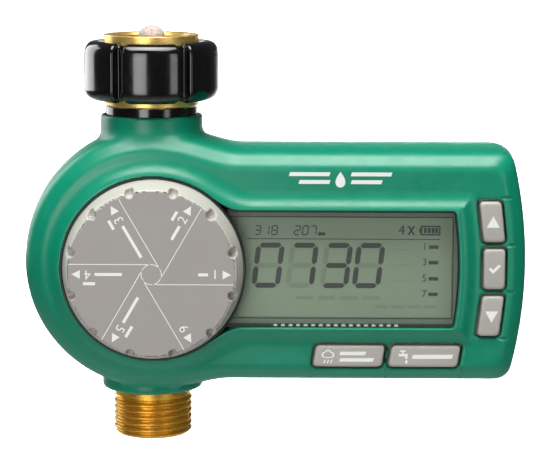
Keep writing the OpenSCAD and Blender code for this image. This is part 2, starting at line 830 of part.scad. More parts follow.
// The section of ring threads between r_root and r_crest, starting at height z.
function thread_section(r_root, r_crest, z, turns) =
    let (flank = abs(r_crest - r_root) * tan(30))
    [for (k = [0:turns - 1]) let (b = z + k * pitch)
        each [[r_root, b], [r_crest, b + flank], [r_crest, b + flank + crest],
              [r_root, b + 2 * flank + crest]]];

// Grip of black plastic: six lobes with rounded ends, on a plain sleeve.
module swivel_collar() {
    lobe_half = 25.5;
    h = collar_top - collar_bottom;
    steps = 5;
    function end_round(s) = [for (k = [0:steps]) let (t = 90 * k / steps)
        s > 0 ? [collar_r - 4.2 * (1 - cos(t)), collar_top - 4.2 * (1 - sin(t))]
              : [collar_r - 4.2 * (1 - sin(t)), collar_bottom + 4.2 * (1 - cos(t))]];
    color([0.02, 0.02, 0.02])
    difference() {
        union() {
            intersection() {
                rotate_extrude() polygon(concat([[10, collar_bottom]], end_round(-1), end_round(1),
                                                [[10, collar_top]]));
                for (k = [0:collar_lobes - 1])
                    rotate([0, 0, -87 + k * 360 / collar_lobes])
                        translate([0, 0, collar_bottom - 1]) linear_extrude(height = h + 2)
                            polygon([[0, 0], [40, -40 * tan(lobe_half)], [40, 40 * tan(lobe_half)]]);
            }
            translate([0, 0, collar_bottom + 0.6]) rod(20.2, h - 3.4);
            translate([0, 0, collar_bottom + 0.3]) rod(18.6, h - 0.8);
        }
        translate([0, 0, collar_bottom - 1]) rod(insert_r, h + 2);
    }
}

// Brass nut moulded into the grip. Its lower lip hangs on the tailpiece's flange.
module swivel_insert() {
    turns = 4;
    female_root_r = female_r + thread_depth;
    threads = thread_section(female_root_r, female_r, 0.9, turns);
    color([0.80, 0.62, 0.25])
    rotate_extrude() polygon(concat(
        [[11.6, insert_bottom], [insert_r - 0.2, insert_bottom], [insert_r - 0.2, collar_bottom],
         [insert_r, collar_bottom], [insert_r, insert_top - 0.4], [insert_r - 0.4, insert_top],
         [female_root_r + 0.9, insert_top], [female_root_r, insert_top - 0.9]],
        [for (k = [len(threads) - 1:-1:0]) threads[k]],
        [[female_root_r + 0.2, 0.9], [female_root_r + 0.2, -6.2], [11.6, -6.2]]));
}

module inlet_washer() {
    color([0.06, 0.06, 0.06])
    translate([0, 0, -washer_t]) tube(washer_r, 7.7, washer_t);
}

// Thimble strainer: a flange clamped in the washer, a tapered wall and a domed end.
module inlet_filter() {
    foot_r = 7.3;
    neck = 4.6;
    top = 10.5;
    t = 0.5;
    steps = 8;
    function shell(g) = concat(
        [[foot_r - g, -washer_t]],
        [for (k = [0:steps]) let (a = 90 * k / steps)
            [(neck - g) * cos(a), top + (4 - g) * sin(a)]]);
    color([0.92, 0.9, 0.88])
    rotate_extrude() difference() {
        polygon(concat([[0, -washer_t]], shell(0)));
        polygon(concat([[0, -washer_t - 1]], [[foot_r - t, -washer_t - 1]], shell(t)));
    }
}

module inlet_tailpiece() {
    color([0.78, 0.60, 0.24])
    rotate_extrude() polygon([[water_r, -24], [11.2, -24], [11.3, -20], [11.3, -6.0],
                              [12.9, -6.0], [12.9, -washer_t], [water_r, -washer_t]]);
}

module tailpiece_seal() {
    color([0.1, 0.1, 0.1])
    translate([0, 0, -25.1]) o_ring(10, 0.95);
}

// ---- valve ----------------------------------------------------------------

module valve_body() {
    chamber_x = 5;
    outlet_top = dial_z - 13;
    color([0.03, 0.03, 0.03])
    difference() {
        union() {
            rotate([0, 0, 30]) {
                translate([0, 0, dial_z + 31]) rod(valve_neck_r, -12.8 - dial_z - 31);
                translate([0, 0, dial_z - 38]) rod(11.5, 76);
                translate([0, 0, boss_bottom + 0.4]) rod(valve_neck_r, 12);
            }
            on_valve_axis(2) rod(valve_r, valve_face_x - 2);
            for (a = [45:90:315]) on_valve_axis(valve_face_x - 6)
                rotate([0, 0, a]) translate([valve_r, 0, 0]) rod(2, 5.8);
        }
        rotate([0, 0, 30]) {
            // socket for the tailpiece and its seal, then the inlet passage
            translate([0, 0, -26.1]) rod(11.3, 20);
            translate([0, 0, dial_z + 7]) rod(water_r, 45);
            // socket for the brass fitting, then the outlet passage
            translate([0, 0, boss_bottom - 1]) rod(12.6, 12);
            translate([0, 0, boss_bottom - 2]) rod(water_r, outlet_top - boss_bottom + 2);
        }
        // channel from the seat down to the outlet passage
        translate([0, 2.6, outlet_top - 1]) rotate([0, 0, 30]) rod(3.9, 14.6);
        // seat passage, and the ring-shaped chamber round the seat
        on_valve_axis(-2) rotate([0, 0, 20]) rod(4.2, 30);
        on_valve_axis(chamber_x) rotate([0, 0, 20]) tube(10.5, 5.5, 20);
        on_valve_axis(valve_face_x - 0.8) rotate([0, 0, 20]) rod(6, 5);
        for (a = [45:90:315]) on_valve_axis(valve_face_x - 5)
            rotate([0, 0, a]) translate([valve_r + 0.2, 0, 0]) rod(0.9, 9);
    }
}

// Brass nipple with the male hose thread, drawn with ring threads.
module outlet_fitting() {
    root_r = male_r - thread_depth;
    color([0.80, 0.60, 0.22])
    rotate_extrude() polygon(concat(
        [[9, outlet_end + 0.4], [9.4, outlet_end], [root_r - 0.9, outlet_end],
         [root_r, outlet_end + 0.7]],
        thread_section(root_r, male_r, outlet_end + 0.75, 6),
        [[root_r, boss_bottom - 2.2], [male_r - 0.45, boss_bottom - 1.8],
         [male_r - 0.45, boss_bottom - 0.1], [12.5, boss_bottom - 0.1],
         [12.5, boss_bottom + 8.8], [9, boss_bottom + 8.8]]));
}

module outlet_seal() {
    color([0.1, 0.1, 0.1])
    translate([0, 0, boss_bottom + 9.9]) o_ring(11.2, 0.9);
}

module diaphragm() {
    color([0.08, 0.08, 0.08])
    on_valve_axis(valve_face_x) tube(valve_r - 0.8, 2.6, membrane_t);
}

// Rigid disc that closes on the seat, with a stem through the diaphragm.
module diaphragm_poppet() {
    color([0.85, 0.85, 0.8])
    on_valve_axis(valve_face_x - 0.75) {
        rod(5.6, 0.7);
        rod(2.5, 3.6);
        translate([0, 0, membrane_t + 0.8]) rod(5.2, 0.8);
    }
}

module diaphragm_spring() {
    color([0.8, 0.8, 0.82])
    on_valve_axis(valve_face_x + membrane_t + 0.95) coil_spring(4.2, 0.35, 6.0, 4);
}

module valve_bonnet() {
    color([0.2, 0.2, 0.21])
    difference() {
        union() {
            on_valve_axis(bonnet_x) rod(valve_r, bonnet_len);
            for (a = [45:90:315]) on_valve_axis(bonnet_x + 0.2)
                rotate([0, 0, a]) translate([valve_r, 0, 0]) rod(2, 2.8);
        }
        on_valve_axis(bonnet_x - 1) rod(10, 8);
        on_valve_axis(bonnet_x) rod(0.7, 30);
        on_valve_axis(bonnet_x + bonnet_len - 1.2) rod(5.4, 3);
        for (a = [45:90:315]) on_valve_axis(bonnet_x - 1)
            rotate([0, 0, a]) translate([valve_r + 0.2, 0, 0]) rod(1, 9);
        for (a = [45:90:315]) on_valve_axis(bonnet_x + 3)
            rotate([0, 0, a]) translate([valve_r + 0.2, 0, 0]) rod(1.9, 9);
    }
}

module bonnet_screws() {
    color([0.75, 0.76, 0.78])
    for (a = [45:90:315]) on_valve_axis(valve_face_x - 4.5)
        rotate([0, 0, a]) translate([valve_r + 0.2, 0, 0]) {
            rod(0.85, 9);
            translate([0, 0, 8.7]) rod(1.7, 1.4);
        }
}

// ---- solenoid -------------------------------------------------------------

module solenoid_coil() {
    color([0.75, 0.35, 0.12])
    on_valve_axis(coil_x) tube(coil_r, plunger_r + 0.9, coil_len);
}

// Steel frame round the coil, with the tube that the plunger slides in.
module solenoid_yoke() {
    color([0.6, 0.6, 0.62])
    difference() {
        union() {
            on_valve_axis(coil_x - 1.6) linear_extrude(height = 1.5) square([18, 16], center = true);
            on_valve_axis(coil_x + coil_len + 0.1) linear_extrude(height = 1.5)
                square([18, 16], center = true);
            translate([coil_x - 1.6, valve_y - 8, dial_z - 10])
                cube([coil_len + 3.2, 16, 1.5]);
            on_valve_axis(coil_x - 2.6) rod(plunger_r + 0.8, coil_len + 4);
        }
        on_valve_axis(coil_x - 3) rod(plunger_r + 0.1, coil_len + 3.2);
    }
}

module solenoid_plunger() {
    color([0.7, 0.7, 0.72])
    on_valve_axis(coil_x - 2.75) rod(plunger_r, 12);
}

module plunger_spring() {
    color([0.8, 0.8, 0.82])
    on_valve_axis(coil_x + 9.3) coil_spring(2.4, 0.3, coil_len - 9.2, 5);
}

// ---- nodes ----------------------------------------------------------------

front_housing();
rear_housing();
housing_gasket();
housing_screws();
display_lens();
lcd_frame();
lcd_glass();
lcd_pins();
circuit_board();
board_screws();
board_chips();
contact_pads();
dial_ring();
mode_dial();
dial_label();
dial_shaft();
dial_seal();
switch_rotor();
shaft_clip();
detent_spring();
button(KEYS[0]);  // up_button
button(KEYS[1]);  // ok_button
button(KEYS[2]);  // down_button
button(KEYS[3]);  // cancel_button
button(KEYS[4]);  // water_now_button
side_keypad();
lower_keypad();
battery_tray();
cell(cell_z, 1);  // upper_battery
cell(-cell_z, -1);  // lower_battery
battery_springs();
battery_contacts();
battery_cover();
cover_gasket();
cover_screw();
battery_wires();
swivel_collar();
swivel_insert();
inlet_washer();
inlet_filter();
inlet_tailpiece();
tailpiece_seal();
valve_body();
outlet_fitting();
outlet_seal();
diaphragm();
diaphragm_poppet();
diaphragm_spring();
valve_bonnet();
bonnet_screws();
solenoid_coil();
solenoid_yoke();
solenoid_plunger();
plunger_spring();
solenoid_wires();
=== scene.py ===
"""Looks for the hose-end irrigation controller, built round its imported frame.

Lengths in this script are millimetres in the row's frame until an object is made: the water
axis is x = 0, y = 0, the tap's sealing face is z = 0, and the front faces -y.
"""

import math

import bpy
import numpy as np
from mathutils import Matrix, Vector


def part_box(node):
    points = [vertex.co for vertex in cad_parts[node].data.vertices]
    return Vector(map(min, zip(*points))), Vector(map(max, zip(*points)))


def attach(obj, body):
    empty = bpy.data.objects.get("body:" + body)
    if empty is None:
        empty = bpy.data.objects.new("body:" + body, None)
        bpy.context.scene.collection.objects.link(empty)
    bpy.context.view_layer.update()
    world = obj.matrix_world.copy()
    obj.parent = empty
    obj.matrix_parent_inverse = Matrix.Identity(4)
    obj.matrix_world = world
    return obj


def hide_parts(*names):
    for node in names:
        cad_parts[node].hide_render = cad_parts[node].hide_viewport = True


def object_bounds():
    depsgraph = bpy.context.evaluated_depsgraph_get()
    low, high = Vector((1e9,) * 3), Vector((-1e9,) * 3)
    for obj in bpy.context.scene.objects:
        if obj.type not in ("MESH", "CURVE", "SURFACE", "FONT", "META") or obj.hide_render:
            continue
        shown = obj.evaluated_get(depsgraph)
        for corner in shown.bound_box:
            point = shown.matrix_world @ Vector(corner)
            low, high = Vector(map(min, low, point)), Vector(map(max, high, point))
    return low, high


MM = 0.001
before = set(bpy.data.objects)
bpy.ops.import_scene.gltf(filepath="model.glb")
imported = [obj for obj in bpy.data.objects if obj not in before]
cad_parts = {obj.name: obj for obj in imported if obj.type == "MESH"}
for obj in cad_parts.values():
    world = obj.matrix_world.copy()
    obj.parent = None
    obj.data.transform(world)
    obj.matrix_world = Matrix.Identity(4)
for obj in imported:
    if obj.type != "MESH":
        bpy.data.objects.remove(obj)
cad_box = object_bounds()
scene = bpy.context.scene


def node_box(name):
    """A CAD node's lowest and highest corners in millimetres."""
    lo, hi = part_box(name)
    return np.array(lo) / MM, np.array(hi) / MM


dial_lo, dial_hi = node_box("mode_dial")
DX = (dial_lo[0] + dial_hi[0]) / 2  # the dial's axis
DZ = (dial_lo[2] + dial_hi[2]) / 2
shell_lo, shell_hi = node_box("front_housing")
NECK_TOP, BOSS_BOTTOM = shell_hi[2], shell_lo[2]
FRAME_D = -shell_lo[1]  # depth of the raised frame's rim, in front of the parting plane
SHELL_D = 20.5  # depth of each half's flat face
ROUND_R, ROUND_X, ROUND_RISE = 44.2, -0.1, 1.4  # the round end, from the dial's axis
SLAB_H = 39.5  # half the straight end's height
SHOULDER = 4.0  # legs of the sloped band round the front and the back
ARC_X, ARC_R = -20.0, 147.0  # the bulging right side
WALL = 2.5
NECK_R, NECK_WALL = 17.3, 1.4
PARTING = 0.05  # half the line between the two halves
WELL_R, WELL_D = 30.95, 19.4  # the dial's well
FRAME_ARC_R = 125.6  # right side of the raised frame
WINDOW_H = 19.8  # half the window's height
WINDOW_RIGHT = 103.5
WINDOW_START = 20  # the window runs in under the dial from here
LENS_D = FRAME_D - 2.5

# ---- shapes as distance fields ---------------------------------------------


def smin(a, b, k):
    """The union of two fields, with a fillet about k wide."""
    h = np.clip(0.5 + 0.5 * (b - a) / k, 0, 1)
    return b + (a - b) * h - k * h * (1 - h)


def smax(a, b, k):
    """The overlap of two fields, with its edge rounded about k wide."""
    return -smin(-a, -b, k)


def cut(a, b, k):
    """Field a with b taken away."""
    return smax(a, -b, k)


def soft_quad(x, z, corners, k):
    """A four-cornered outline in x and z, with its corners rounded about k wide."""
    d = None
    for (x0, z0), (x1, z1) in zip(corners, corners[1:] + corners[:1]):
        ex, ez = x1 - x0, z1 - z0
        n = math.hypot(ex, ez)
        e = ((x - x0) * ez - (z - z0) * ex) / n
        d = e if d is None else smax(d, e, k)
    return d


def net(field, lo, hi, step):
    """Points, faces and normals of the surface where field is 0 (surface nets)."""
    axes = [np.arange(a - 1.5 * step, b + 2.5 * step, step) for a, b in zip(lo, hi)]
    x, y, z = np.meshgrid(*axes, indexing="ij", sparse=True)
    f = np.broadcast_to(field(x, y, z), [len(a) for a in axes])
    inside = f < 0
    sides = np.zeros([n - 1 for n in f.shape], int)
    corners = [(i, j, k) for i in (0, 1) for j in (0, 1) for k in (0, 1)]
    for i, j, k in corners:
        sides += inside[i:i + sides.shape[0], j:j + sides.shape[1], k:k + sides.shape[2]]
    cells = np.argwhere((sides > 0) & (sides < 8))
    index = np.full(sides.shape, -1)
    index[tuple(cells.T)] = np.arange(len(cells))
    value = {c: f[tuple((cells + c).T)] for c in corners}
    total = np.zeros((len(cells), 3))
    count = np.zeros(len(cells))
    for a in corners:
        for axis in range(3):
            if a[axis]:
                continue
            b = tuple(1 if k == axis else a[k] for k in range(3))
            fa, fb = value[a], value[b]
            crosses = (fa < 0) != (fb < 0)
            t = np.where(crosses, fa / np.where(fa == fb, 1, fa - fb), 0)
            point = np.array(a, float) + t[:, None] * (np.array(b) - np.array(a))
            total += point * crosses[:, None]
            count += crosses
    origin = np.array([a[0] for a in axes])
    points = origin + (cells + total / count[:, None]) * step

    faces = []
    for axis in range(3):
        u, v = (axis + 1) % 3, (axis + 2) % 3
        first = [slice(0, -1) if k == axis else slice(1, -1) for k in range(3)]
        second = [slice(1, None) if k == axis else slice(1, -1) for k in range(3)]
        a, b = inside[tuple(first)], inside[tuple(second)]
        edges = np.argwhere(a != b)
        leaving = a[tuple(edges.T)]
        for k in (u, v):
            edges[:, k] += 1
        ring = []
        for du, dv in ((1, 1), (0, 1), (0, 0), (1, 0)):
            cell = edges.copy()
            cell[:, u] -= du
            cell[:, v] -= dv
            ring.append(index[tuple(cell.T)])
        ring = np.array(ring).T
        ring[~leaving] = ring[~leaving][:, ::-1]
        faces.append(ring)
    faces = np.concatenate(faces)

    def gradient(p, h=0.03):
        g = np.empty_like(p)
        for k in range(3):
            q = p.copy()
            q[:, k] += h
            r = p.copy()
            r[:, k] -= h
            g[:, k] = (field(*q.T) - field(*r.T)) / (2 * h)
        return g

    start = points.copy()
    for _ in range(2):
        g = gradient(points)
        move = -field(*points.T)[:, None] * g / np.maximum((g * g).sum(1), 0.2)[:, None]
        points = points + move
        points = start + np.clip(points - start, -0.6 * step, 0.6 * step)
    g = gradient(points, 0.06)
    normals = g / np.maximum(np.linalg.norm(g, axis=1), 1e-9)[:, None]
    return points, faces, normals


def mesh_object(name, points, faces, normals=None, smooth=True):
    """An object in the scene, from points in millimetres."""
    mesh = bpy.data.meshes.new(name)
    mesh.from_pydata((np.asarray(points) * MM).tolist(), [], [list(map(int, f)) for f in faces])
    mesh.polygons.foreach_set("use_smooth", [smooth] * len(mesh.polygons))
    if normals is not None:
        mesh.normals_split_custom_set_from_vertices(normals.tolist())
    mesh.update()
    obj = bpy.data.objects.new(name, mesh)
    scene.collection.objects.link(obj)
    return obj


def fineness(fine):
    return fine


def sculpt(name, field, lo, hi, step, material, slot, body, node):
    """A piece with a field's surface, in place of a CAD node."""
    obj = mesh_object(name, *net(field, lo, hi, step))
    obj.data.materials.append(material)
    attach(obj, body)
    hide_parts(node)


def prisms(name, outlines, depth, thickness, material, body):
    """Thin raised marks: outlines in x and z, their front faces at a depth."""
    points, faces = [], []
    for outline in outlines:
        area = sum(a[0] * b[1] - b[0] * a[1] for a, b in zip(outline, outline[1:] + outline[:1]))
        ring = list(outline) if area > 0 else list(outline)[::-1]
        n, first = len(ring), len(points)
        points += [(x, -depth, z) for x, z in ring] + [(x, thickness - depth, z) for x, z in ring]
        front = [first + k for k in range(n)]
        back = [k + n for k in front]
        faces += [front, back[::-1]]
        faces += [[front[k], back[k], back[(k + 1) % n], front[(k + 1) % n]] for k in range(n)]
    obj = mesh_object(name, points, faces, smooth=False)
    obj.data.materials.append(material)
    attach(obj, body)


# ---- materials --------------------------------------------------------------


def srgb(*rgb):
    """Linear colour of an 8-bit screen colour."""
    c = [v / 255 for v in rgb]
    return [v / 12.92 if v <= 0.04045 else ((v + 0.055) / 1.055) ** 2.4 for v in c] + [1.0]


def material(name, colour, rough, metal=0.0, spread=0.05, scale=60.0, grain=0.02, grain_scale=2500.0,
             rough_spread=0.06, coat=0.0, stretch=(1, 1, 1), speckle=None, alpha=1.0):
    """A procedural surface: broad colour drift, fine bump and uneven gloss, all in object space."""
    m = bpy.data.materials.new(name)
    m.use_nodes = True
    nodes, links = m.node_tree.nodes, m.node_tree.links
    shader = nodes["Principled BSDF"]
    shader.inputs["Metallic"].default_value = metal
    shader.inputs["Alpha"].default_value = alpha
    shader.inputs["Coat Weight"].default_value = coat
    shader.inputs["Coat Roughness"].default_value = 0.08
    where = nodes.new("ShaderNodeTexCoord")
    lay = nodes.new("ShaderNodeMapping")
    lay.inputs["Scale"].default_value = stretch
    links.new(where.outputs["Object"], lay.inputs["Vector"])

    def noise(size, detail, low, high):
        n = nodes.new("ShaderNodeTexNoise")
        n.inputs["Scale"].default_value = size
        n.inputs["Detail"].default_value = detail
        links.new(lay.outputs["Vector"], n.inputs["Vector"])
        r = nodes.new("ShaderNodeMapRange")
        r.inputs["From Min"].default_value = 0.3
        r.inputs["From Max"].default_value = 0.7
        r.inputs["To Min"].default_value = low
        r.inputs["To Max"].default_value = high
        links.new(n.outputs["Fac"], r.inputs["Value"])
        return r.outputs["Result"]

    mix = nodes.new("ShaderNodeMix")
    mix.data_type = "RGBA"
    mix.inputs[6].default_value = [min(1.0, c * (1 - spread)) for c in colour[:3]] + [1]
    mix.inputs[7].default_value = [min(1.0, c * (1 + spread)) for c in colour[:3]] + [1]
    links.new(noise(scale, 3, 0, 1), mix.inputs[0])
    base = mix.outputs[2]
    if speckle:
        dots = nodes.new("ShaderNodeMix")
        dots.data_type = "RGBA"
        dots.inputs[7].default_value = speckle
        links.new(base, dots.inputs[6])
        links.new(noise(grain_scale, 1, -1.2, 1.0), dots.inputs[0])
        base = dots.outputs[2]
    links.new(base, shader.inputs["Base Color"])
    links.new(noise(scale * 4, 2, max(0.02, rough - rough_spread), rough + rough_spread),
              shader.inputs["Roughness"])
    bump = nodes.new("ShaderNodeBump")
    bump.inputs["Strength"].default_value = grain
    bump.inputs["Distance"].default_value = 0.0002
    links.new(noise(grain_scale, 2, 0, 1), bump.inputs["Height"])
    links.new(bump.outputs["Normal"], shader.inputs["Normal"])
    return m


green = material("green_plastic", srgb(3, 136, 104), 0.34, grain=0.08, grain_scale=1800, spread=0.03)
black_ring = material("black_plastic", srgb(14, 16, 15), 0.35, grain=0.08)
gloss_black = material("gloss_black", srgb(8, 8, 9), 0.16, rough_spread=0.04, coat=0.6, grain=0.02)
dial_grey = material("dial_grey", srgb(190, 187, 178), 0.36, spread=0.02, grain=0.12)
label_grey = material("label_grey", srgb(163, 158, 154), 0.48, spread=0.02, grain=0.1, grain_scale=4000)
button_grey = material("button_grey", srgb(180, 176, 168), 0.42, spread=0.02, grain=0.12)
white_ink = material("white_ink", srgb(242, 244, 240), 0.5, spread=0.01, grain=0.05)
lcd_back = material("lcd_back", srgb(128, 147, 121), 0.42, spread=0.02, scale=25, grain=0.03)
lcd_dark = material("lcd_dark", srgb(14, 16, 20), 0.6, spread=0.04)
lcd_faint = material("lcd_faint", srgb(114, 131, 109), 0.6, spread=0.03)
lcd_edge = material("lcd_edge", srgb(12, 16, 14), 0.4, spread=0.05)
bezel = material("bezel", srgb(98, 113, 96), 0.45, spread=0.05, grain=0.1)
clear = material("clear_window", srgb(200, 210, 200), 0.06, alpha=0.05, rough_spread=0.02, grain=0.0)
brass = material("bright_brass", srgb(250, 212, 122), 0.32, metal=0.8, grain=0.12, grain_scale=1500,
                 stretch=(1, 1, 8), spread=0.06)
outlet_brass = material("turned_brass", srgb(238, 184, 70), 0.30, metal=0.8, grain=0.15,
                        grain_scale=900, stretch=(1, 1, 12), spread=0.10)
strainer = material("strainer_mesh", srgb(206, 188, 182), 0.55, grain=0.6, grain_scale=1600,
                    speckle=srgb(150, 128, 120))
steel = material("plated_steel", srgb(196, 198, 202), 0.28, metal=1.0, grain=0.08)
tin = material("tinned_pin", srgb(250, 252, 240), 0.35, metal=0.0, grain=0.05)
rubber = material("black_rubber", srgb(28, 28, 28), 0.7, grain=0.3)
silicone = material("silicone", srgb(205, 205, 198), 0.5, grain=0.1)
nylon = material("nylon", srgb(225, 222, 210), 0.45, grain=0.1)
board = material("solder_mask", srgb(20, 92, 58), 0.35, spread=0.12, scale=220, grain=0.2)
chip = material("chip_black", srgb(34, 34, 36), 0.5, grain=0.2)
jacket = material("cell_jacket", srgb(176, 138, 62), 0.3, metal=0.5, spread=0.1)
copper = material("coil_wire", srgb(176, 92, 48), 0.35, metal=0.6, grain=0.5, grain_scale=1200,
                  stretch=(6, 1, 1))
leads = material("lead_jacket", srgb(150, 34, 30), 0.45, grain=0.1)

# nodes that keep the CAD's shape
for names, m in {
    ("display_lens",): clear, ("lcd_frame",): bezel, ("lcd_glass",): lcd_back, ("lcd_pins",): tin,
    ("dial_ring", "battery_tray"): black_ring, ("valve_body", "valve_bonnet"): gloss_black,
    ("dial_label",): label_grey, ("inlet_filter",): strainer, ("inlet_tailpiece",): brass,
    ("circuit_board",): board, ("board_chips", "contact_pads"): chip,
    ("upper_battery", "lower_battery"): jacket, ("solenoid_coil",): copper,
    ("battery_wires", "solenoid_wires"): leads, ("side_keypad", "lower_keypad"): silicone,
    ("dial_shaft", "switch_rotor", "diaphragm_poppet"): nylon,
    ("housing_gasket", "cover_gasket", "dial_seal", "tailpiece_seal", "outlet_seal",
     "inlet_washer", "diaphragm"): rubber,
    ("housing_screws", "board_screws", "cover_screw", "bonnet_screws", "shaft_clip", "detent_spring",
     "battery_springs", "battery_contacts", "diaphragm_spring", "plunger_spring", "solenoid_yoke",
     "solenoid_plunger"): steel,
}.items():
    for name in names:
        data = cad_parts[name].data
        data.materials.clear()
        data.materials.append(m)

# ---- case -------------------------------------------------------------------


def follow(x, z):
    """x of a line that keeps to the right side's curve, z above the dial's axis."""
    return ARC_X + math.sqrt((x - ARC_X) ** 2 - z * z)


def follow_field(x, w):
    """How far right a point is, measured along the dial's height, on a line that follows the side."""
    return ARC_X + np.hypot(x - ARC_X, w)


SIDE_X, SIDE_Z, SIDE_W, SIDE_H, SIDE_PITCH = 111.7, 0.15, 7.3, 6.85, 15.9
ROW_X, ROW_Z, ROW_W, ROW_H, ROW_PITCH = 55.9, -25.9, 23.3, 7.4, 25.4
ROW_LEAN = 1.25


def side_key(row, grow=0.0):
    """Corners of a button in the column on the right, up or down from the middle one."""
    z, h = SIDE_Z + row * SIDE_PITCH, SIDE_H + grow
    x, w = SIDE_X - grow, SIDE_W + 2 * grow
    return [(follow(x, z - h), z - h), (follow(x + w, z - h), z - h),
            (follow(x + w, z + h), z + h), (follow(x, z + h), z + h)]


def row_key(place, grow=0.0):
    """Corners of a button in the row below the window."""
    x, low, high = ROW_X + place * ROW_PITCH, ROW_Z - ROW_H - grow, ROW_Z + grow
    return [(x - ROW_LEAN - grow, low), (x + ROW_W - ROW_LEAN + grow, low),
            (x + ROW_W + grow, high), (x - grow, high)]


KEYS = {"up": (side_key, 1), "ok": (side_key, 0), "down": (side_key, -1),
        "cancel": (row_key, 0), "water_now": (row_key, 1)}


def body_field(x, y, z):
    """The case without its necks, both halves, with crowned sides and rounded shoulders."""
    u, w, d = x - DX, z - DZ, np.abs(y)
    crown = (d / 14) ** 2
    round_end = np.hypot(u - ROUND_X, w - ROUND_RISE) - ROUND_R + 1.1 * crown
    slab = smax(np.abs(w) - SLAB_H, np.hypot(x - ARC_X, w) - ARC_R, 5) + 0.7 * crown
    slab = np.maximum(slab, -u)
    outline = smin(round_end, slab, 5)
    front = d - SHELL_D
    bevel = (outline + front + SHOULDER) * 0.7071
    return smax(smax(outline, bevel, 1.6), front, 1.2)


def case_field(x, y, z):
    """The closed case, with fillets where the necks meet it."""
    case = body_field(x, y, z)
    neck = np.hypot(x, y) - NECK_R
    case = smin(case, smax(neck, DZ - z, 1), 3)
    case = smin(case, smax(neck, z - DZ + 20, 1), 0.8)
    case = smax(case, z - NECK_TOP, 1.4)
    return smax(case, BOSS_BOTTOM - z, 1.6)


def hollow_field(x, y, z):
    """The space inside the case's walls and necks."""
    hollow = smax(body_field(x, y, z) + WALL, np.abs(y) - 17.6, 3)
    return np.minimum(hollow, np.hypot(x, y) - NECK_R + NECK_WALL)


def front_field(x, y, z):
    """The front half, with its frame, well, window, button holes and creases."""
    u, w, d = x - DX, z - DZ, -y
    case = case_field(x, y, z)
    # raised frame round the dial and window, with its sloped side
    ring = np.hypot(u, w) - (WELL_R + 0.7)
    slab = np.maximum(np.abs(w) - (WINDOW_H + 0.6), np.hypot(x - ARC_X, w) - FRAME_ARC_R)
    slab = smax(slab, -u, 1)
    rim = smin(ring, slab, 7)
    slope = (rim - (FRAME_D - d) * 1.25) * 0.62
    raised = smax(smax(slope, d - FRAME_D, 1.2), 15 - d, 1)
    case = smin(case, raised, 1.6)
    # well for the dial, and the window's recess with an S-shaped mouth
    well = smax(np.hypot(u, w) - WELL_R, WELL_D - d, 0.3)
    pane = smax(np.abs(w) - WINDOW_H, np.hypot(x - ARC_X, w) - (WINDOW_RIGHT - ARC_X), 1.2)
    mouth = smin(np.hypot(u, w) - WELL_R, np.maximum(pane, WINDOW_START - x), 5)
    mouth = smax(mouth, LENS_D - 0.3 - d, 0.2)
    pocket = np.maximum(np.maximum(pane - 1.5, WINDOW_START - x), 10 - d)
    case = cut(case, np.minimum(well, mouth), 0.5)
    case = cut(case, np.maximum(pocket, d - LENS_D + 0.5), 0.1)
    # hollow behind the walls
    case = cut(case, hollow_field(x, y, z), 0.1)
    # openings for the buttons, each in a shallow dish
    keys = 1e9
    for shape, place in KEYS.values():
        keys = np.minimum(keys, soft_quad(x, w, shape(place, 0.75), 2.2))
    case = cut(case, np.maximum(keys, 14 - d), 0.8)
    # short creases that run out from the buttons' corners
    top = np.abs(body_field(x, y, z))
    run = follow_field(x, w) - SIDE_X - SIDE_W
    for row in (-1.5, -0.5, 0.5, 1.5):
        line = np.hypot(w - SIDE_Z - row * SIDE_PITCH, top)
        case = cut(case, smax(line - 0.45, np.abs(run - 1.9) - 2.0, 1), 0.3)
    for place in (0, 1, 2):
        across = x - (ROW_X - 1.1 + place * ROW_PITCH) - (w + 33.5) * 0.28
        line = np.hypot(across * 0.96, top)
        case = cut(case, smax(line - 0.4, np.abs(w + 35.6) - 2.6, 1), 0.3)
    return np.maximum(case, y + PARTING)


tray_lo, tray_hi = node_box("battery_tray")
cover_lo, cover_hi = node_box("battery_cover")
screw_lo, screw_hi = node_box("cover_screw")
TRAY_X, TRAY_HALF = (tray_lo[0] + tray_hi[0]) / 2, (tray_hi[0] - tray_lo[0]) / 2
COVER_X, COVER_HALF = (cover_lo[0] + cover_hi[0]) / 2, (cover_hi[0] - cover_lo[0]) / 2
COVER_H, HOLE_H = 19, 15.8  # half the heights of the cover and of the battery hole
SCREW_X = (screw_lo[0] + screw_hi[0]) / 2  # the cover's screw
SCREWS = [(DX - 24.4, 24.4), (DX - 24.4, -24.4), (42, 29.6), (114, 29.6), (114, -29.6), (42, -29.6)]


def rear_field(x, y, z):
    """The rear half, with the cover's recess, the battery hole and the screws' bosses."""
    w = z - DZ
    case = cut(case_field(x, y, z), hollow_field(x, y, z), 0.1)
    recess = smax(np.abs(x - COVER_X) - COVER_HALF - 0.3, np.abs(w) - COVER_H - 0.3, 4.5)
    case = cut(case, np.maximum(recess, 18.9 - y), 0.4)
    hole = smax(np.abs(x - TRAY_X) - TRAY_HALF + 1.5, np.abs(w) - HOLE_H, 2.5)
    case = cut(case, np.maximum(hole, 12 - y), 0.4)
    for sx, sz in SCREWS:
        r = np.hypot(x - sx, w - sz)
        boss = np.maximum(r - 3.8, y - 18)
        case = np.minimum(case, np.maximum(boss, PARTING - y))
        case = cut(case, np.maximum(r - 3.1, 9 - y), 0.5)
        case = cut(case, r - 1.7, 0.2)
    case = cut(case, np.maximum(np.hypot(x - SCREW_X, w) - 1.5, 12 - y), 0.2)
    return np.maximum(case, PARTING - y)


